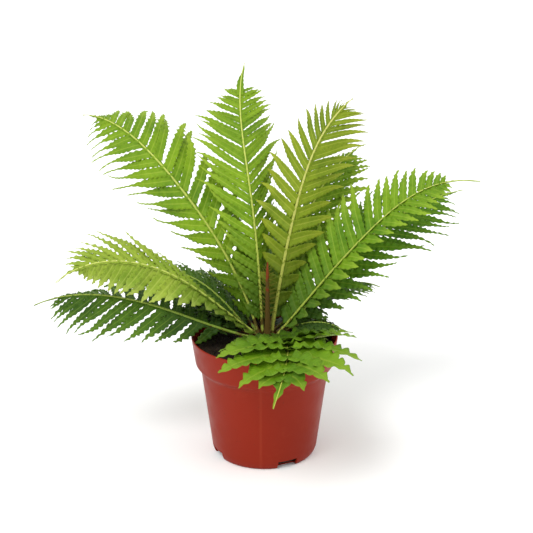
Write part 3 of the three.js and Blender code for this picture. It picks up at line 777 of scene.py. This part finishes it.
RIBS = {
    "mid": ((158, 172, 70), (190, 202, 98)),
    "mid_bright": ((156, 172, 66), (186, 198, 92)),
    "mid_deep": ((132, 154, 52), (156, 176, 66)),
    "olive": ((158, 164, 70), (190, 192, 104)),
    "bright": ((160, 176, 74), (190, 200, 102)),
    "deep": ((112, 136, 46), (150, 168, 72)),
    "front": ((140, 158, 56), (170, 180, 72)),
    "young": ((84, 36, 15), (122, 54, 22)),
}
STALK_COLOR = srgb(78, 62, 20)
# how far up the stalk its own colour goes, in tenths of a metre
STALK_UNTIL = 0.15
YOUNG_STALK_UNTIL = 0.5
leaf_looks = {}
for look, colors in LOOKS.items():
    until = YOUNG_STALK_UNTIL if look == "young" else STALK_UNTIL
    low_rib, high_rib = [srgb(*c) for c in RIBS[look]]
    leaf_looks[look] = (
        leaf_material("leaf_" + look, *[srgb(*c) for c in colors]),
        rib_material("rib_" + look, low_rib, high_rib, STALK_COLOR, until),
    )

scale_look = scale_material()

for index, entry in enumerate(FRONDS):
    f = {**USUAL, **entry}
    shell = frond_shell(f, FROND_SEED + index)
    obj = shell.build(f["name"] + "_leaves", [*leaf_looks[f["look"]], scale_look])
    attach(obj, "root")
    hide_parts(f["name"])


# ---------------------------------------------------------------- pot
def body_radius(z):
    return FOOT_RADIUS + (BODY_TOP_RADIUS - FOOT_RADIUS) * z / BODY_TOP


def rounded(profile, corners, steps=5):
    """The profile with chosen corners rounded: corners maps a point's number to its radius."""
    out = []
    for k, p in enumerate(profile):
        r = corners.get(k, 0)
        if not r:
            out.append(p)
            continue
        p = np.array(p, float)
        a = np.array(profile[k - 1], float) - p
        b = np.array(profile[k + 1], float) - p
        a_len = min(r, np.linalg.norm(a) * 0.48)
        b_len = min(r, np.linalg.norm(b) * 0.48)
        start = p + a / np.linalg.norm(a) * a_len
        stop = p + b / np.linalg.norm(b) * b_len
        for q in np.linspace(0, 1, steps + 1):
            out.append(tuple((1 - q) ** 2 * start + 2 * q * (1 - q) * p + q * q * stop))
    return out


def lathe(profile, segments):
    """A closed body turned about Z; the first and last points of the profile lie on the axis."""
    pts = []
    rows = []
    for r, z in profile:
        if r < 1e-9:
            rows.append([len(pts)])
            pts.append((0, 0, z))
        else:
            rows.append(list(range(len(pts), len(pts) + segments)))
            for k in range(segments):
                a = 2 * math.pi * k / segments
                pts.append((r * math.cos(a), r * math.sin(a), z))
    faces = []
    for low, top in zip(rows, rows[1:]):
        for k in range(segments):
            n = (k + 1) % segments
            if len(low) == 1:
                faces.append((low[0], top[n], top[k]))
            elif len(top) == 1:
                faces.append((low[k], low[n], top[0]))
            else:
                faces.append((low[k], low[n], top[n], top[k]))
    return pts, faces


def apply_modifiers(obj):
    depsgraph = bpy.context.evaluated_depsgraph_get()
    mesh = bpy.data.meshes.new_from_object(obj.evaluated_get(depsgraph))
    obj.modifiers.clear()
    obj.data = mesh


def make_pot():
    outer = [
        (0, 0),
        (FOOT_RADIUS - FOOT_ROUND, 0),
        (body_radius(0.6) - 1.2, 0.0),
        (body_radius(FOOT_ROUND), FOOT_ROUND),
        (body_radius(NOTCH_HEIGHT + 1), NOTCH_HEIGHT + 1),
        (body_radius(14), 14),
        (body_radius(40), 40),
        (BODY_TOP_RADIUS, BODY_TOP),
        (COLLAR_RADIUS, COLLAR_FOOT),
        (RIM_RADIUS - 0.15, POT_HEIGHT - 1.6),
        (RIM_RADIUS, POT_HEIGHT - 0.1),
        (RIM_RADIUS - WALL, POT_HEIGHT),
        (RIM_RADIUS - WALL - 0.2, POT_HEIGHT - 2.0),
        (COLLAR_RADIUS - WALL, COLLAR_FOOT),
        (BODY_TOP_RADIUS - WALL, BODY_TOP),
        (body_radius(FOOT_ROUND) - WALL, FOOT_ROUND),
        (FOOT_RADIUS - FOOT_ROUND, WALL),
        (0, WALL),
    ]
    rounding = {2: 4.0, 7: 2.0, 8: 1.6, 9: 0.5, 10: 0.6, 11: 0.5, 13: 1.5, 14: 1.5, 15: 3.0}
    pts, faces = lathe(rounded(outer, rounding), POT_SEGMENTS)
    shell = Shell()
    shell.add(pts, faces, (0, 0, 0), 0, 0)
    pot = shell.build("nursery_pot_shell", [plastic_material()])
    for k in range(NOTCH_COUNT):
        bpy.ops.mesh.primitive_cube_add(size=1)
        cutter = bpy.context.object
        cutter.name = "notch_cutter"
        cutter.scale = (2 * NOTCH_DEPTH * MM, NOTCH_WIDTH * MM, 2 * NOTCH_HEIGHT * MM)
        a = math.radians(NOTCH_HEADING + 360 / NOTCH_COUNT * k)
        cutter.location = (FOOT_RADIUS * MM * math.cos(a), FOOT_RADIUS * MM * math.sin(a), 0)
        cutter.rotation_euler = (0, 0, a)
        cut = pot.modifiers.new("notch", "BOOLEAN")
        cut.operation = "DIFFERENCE"
        cut.solver = "EXACT"
        cut.object = cutter
        bpy.context.view_layer.update()
        apply_modifiers(pot)
        bpy.data.objects.remove(cutter)
    pot.data.set_sharp_from_angle(angle=math.radians(38))
    return pot


pot = make_pot()
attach(pot, "root")
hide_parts("nursery_pot")


# ---------------------------------------------------------------- soil
def inner_radius(z):
    """Inside radius of the pot's wall at a height in the collar."""
    return COLLAR_RADIUS - SOLID_WALL + COLLAR_DRAFT * (z - COLLAR_FOOT) / COLLAR_HEIGHT


def lump(rng, radius):
    """A small irregular crumb round the origin."""
    bm = bmesh.new()
    bmesh.ops.create_icosphere(bm, subdivisions=1, radius=1)
    pts = np.array([v.co for v in bm.verts])
    faces = [tuple(v.index for v in face.verts) for face in bm.faces]
    bm.free()
    pts = pts * rng.uniform(0.7, 1.25, (len(pts), 1)) * radius
    return pts * rng.uniform(0.6, 1.2, (1, 3)), faces


def make_soil():
    rng = np.random.default_rng(SOIL_SEED)
    wall = [
        (0, SOLID_WALL + FIT_GAP),
        (FOOT_RADIUS - FOOT_ROUND - FIT_GAP, SOLID_WALL + FIT_GAP),
        (body_radius(FOOT_ROUND) - SOLID_WALL - FIT_GAP, FOOT_ROUND + FIT_GAP),
        (BODY_TOP_RADIUS - SOLID_WALL - FIT_GAP, BODY_TOP + FIT_GAP),
        (COLLAR_RADIUS - SOLID_WALL - FIT_GAP, COLLAR_FOOT + FIT_GAP),
    ]
    edge = inner_radius(SOIL_EDGE) - FIT_GAP
    rings = [(edge, SOIL_EDGE)] + [(r, soil_height(r)) for r in np.linspace(edge - 1.5, 1.5, 34)]
    profile = wall + rings + [(0, soil_height(0))]
    pts, faces = lathe(profile, SOIL_SEGMENTS)
    pts = np.array(pts, float)
    top = pts[:, 2] > SOIL_EDGE - 1.0
    x, y = pts[:, 0], pts[:, 1]
    waves = np.zeros(len(pts))
    for _ in range(SOIL_WAVES):
        k = rng.uniform(0.08, 0.75)
        a = rng.uniform(0, 2 * math.pi)
        beside = x * math.cos(a) + y * math.sin(a)
        waves += np.sin(k * beside + rng.uniform(0, 6.28)) / (0.6 + 2.2 * k)
    calm = np.clip((np.hypot(x, y) - CROWN_RADIUS * 0.6) / 6, 0.15, 1)
    pts[:, 2] += np.where(top, 0.24 * waves * calm, 0)
    shell = Shell()
    shell.add(pts, faces, (0, 0, 0), 0, 0)
    # loose crumbs on the surface
    for _ in range(CRUMBS):
        r = edge * math.sqrt(rng.uniform(0.04, 0.985))
        a = rng.uniform(0, 2 * math.pi)
        size = rng.uniform(0.35, 1.35) * rng.uniform(0.5, 1.0)
        p, fc = lump(rng, size)
        z = soil_height(r) + rng.uniform(-0.2, 0.8)
        shell.add(p + np.array([r * math.cos(a), r * math.sin(a), z]), fc, (0, 0, 0), 0, 0)
    return shell.build("potting_soil_fill", [soil_material()])


soil = make_soil()
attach(soil, "root")
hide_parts("potting_soil")


# ---------------------------------------------------------------- crown
def make_crown():
    rng = np.random.default_rng(CROWN_SEED)
    profile = [
        (0, CROWN_FOOT - 0.2),
        (CROWN_RADIUS * 0.9, CROWN_FOOT - 0.2),
        (CROWN_RADIUS * 0.86, CROWN_FOOT + CROWN_HEIGHT * 0.5),
        (CROWN_TOP_RADIUS * 0.86, CROWN_TOP - 0.4),
        (0, CROWN_TOP + 0.2),
    ]
    pts, faces = lathe(profile, CROWN_SEGMENTS)
    shell = Shell()
    shell.add(pts, faces, (0, 0, 0), 0.2, 0)
    for _ in range(CROWN_SCALES):
        a = rng.uniform(0, 2 * math.pi)
        r = CROWN_RADIUS * math.sqrt(rng.uniform(0.02, 0.95))
        foot = CROWN_TOP - 1.0 - 2.2 * (r / CROWN_RADIUS) ** 3
        base = np.array([r * math.cos(a), r * math.sin(a), foot])
        out = np.array([math.cos(a), math.sin(a), 0])
        lean = rng.uniform(0.1, 1.1)
        onward = unit(out * lean + np.array([0, 0, 1.0]) + rng.uniform(-0.25, 0.25, 3))
        across = unit(np.cross(onward, out + rng.uniform(-0.3, 0.3, 3)))
        face = unit(np.cross(onward, across))
        t = np.linspace(0, 1, 5)
        length = rng.uniform(2.2, 5.2)
        centre = base + onward * (t * length)[:, None] + out * (0.5 * t**2 * length * 0.4)[:, None]
        half = np.stack([0.42 * (1 - t**1.4) + 0.04] * 2, -1)
        edge = half * 0.3
        p, fc, leaf = blade(
            centre, np.tile(across, (5, 1)), np.tile(face, (5, 1)), half, edge,
            CROWN_SCALE_THICKNESS, cols=2,
        )
        shell.add(p, fc, leaf, rng.uniform(0, 1), 0)
    return shell.build("crown_scales", [scale_look])


crown = make_crown()
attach(crown, "root")
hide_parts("crown")

# ---------------------------------------------------------------- floor, light and camera
HALF_FLOOR = 8.0
WHITE = (0.97, 0.97, 0.97, 1)
CAMERA_PLACE = (0.0016, -1.0, 0.523)
CAMERA_TILT = 19.9
CAMERA_LENS = 89.4

floor_mesh = bpy.data.meshes.new("floor")
floor_corners = [(x * HALF_FLOOR, y * HALF_FLOOR, 0) for x, y in ((-1, -1), (1, -1), (1, 1), (-1, 1))]
floor_mesh.from_pydata(floor_corners, [], [(0, 1, 2, 3)])
floor = bpy.data.objects.new("floor", floor_mesh)
bpy.context.scene.collection.objects.link(floor)
floor_look = Nodes("floor_look")
floor_look.surface(WHITE, 0.9, 0.1)
floor_mesh.materials.append(floor_look.material)

scene = bpy.context.scene
scene.view_settings.view_transform = "Standard"
scene.view_settings.look = "None"
world = bpy.data.worlds.new("studio")
world.use_nodes = True
world.node_tree.nodes["Background"].inputs["Color"].default_value = (1, 1, 1, 1)
world.node_tree.nodes["Background"].inputs["Strength"].default_value = 0.9
scene.world = world


def sun(name, place, strength, angle):
    data = bpy.data.lights.new(name, "SUN")
    data.energy = strength
    data.angle = math.radians(angle)
    obj = bpy.data.objects.new(name, data)
    obj.rotation_euler = Vector(place).to_track_quat("Z", "Y").to_euler()
    scene.collection.objects.link(obj)


sun("key", (-0.45, -0.7, 1.0), 1.65, 26)
sun("fill", (0.9, -0.4, 0.8), 0.5, 60)

camera_data = bpy.data.cameras.new("camera")
camera_data.sensor_width = 36
camera_data.lens = CAMERA_LENS
camera_data.clip_end = 50
camera = bpy.data.objects.new("camera", camera_data)
camera.location = CAMERA_PLACE
camera.rotation_euler = (math.radians(90 - CAMERA_TILT), 0, 0)
scene.collection.objects.link(camera)
scene.camera = camera

bpy.context.view_layer.update()
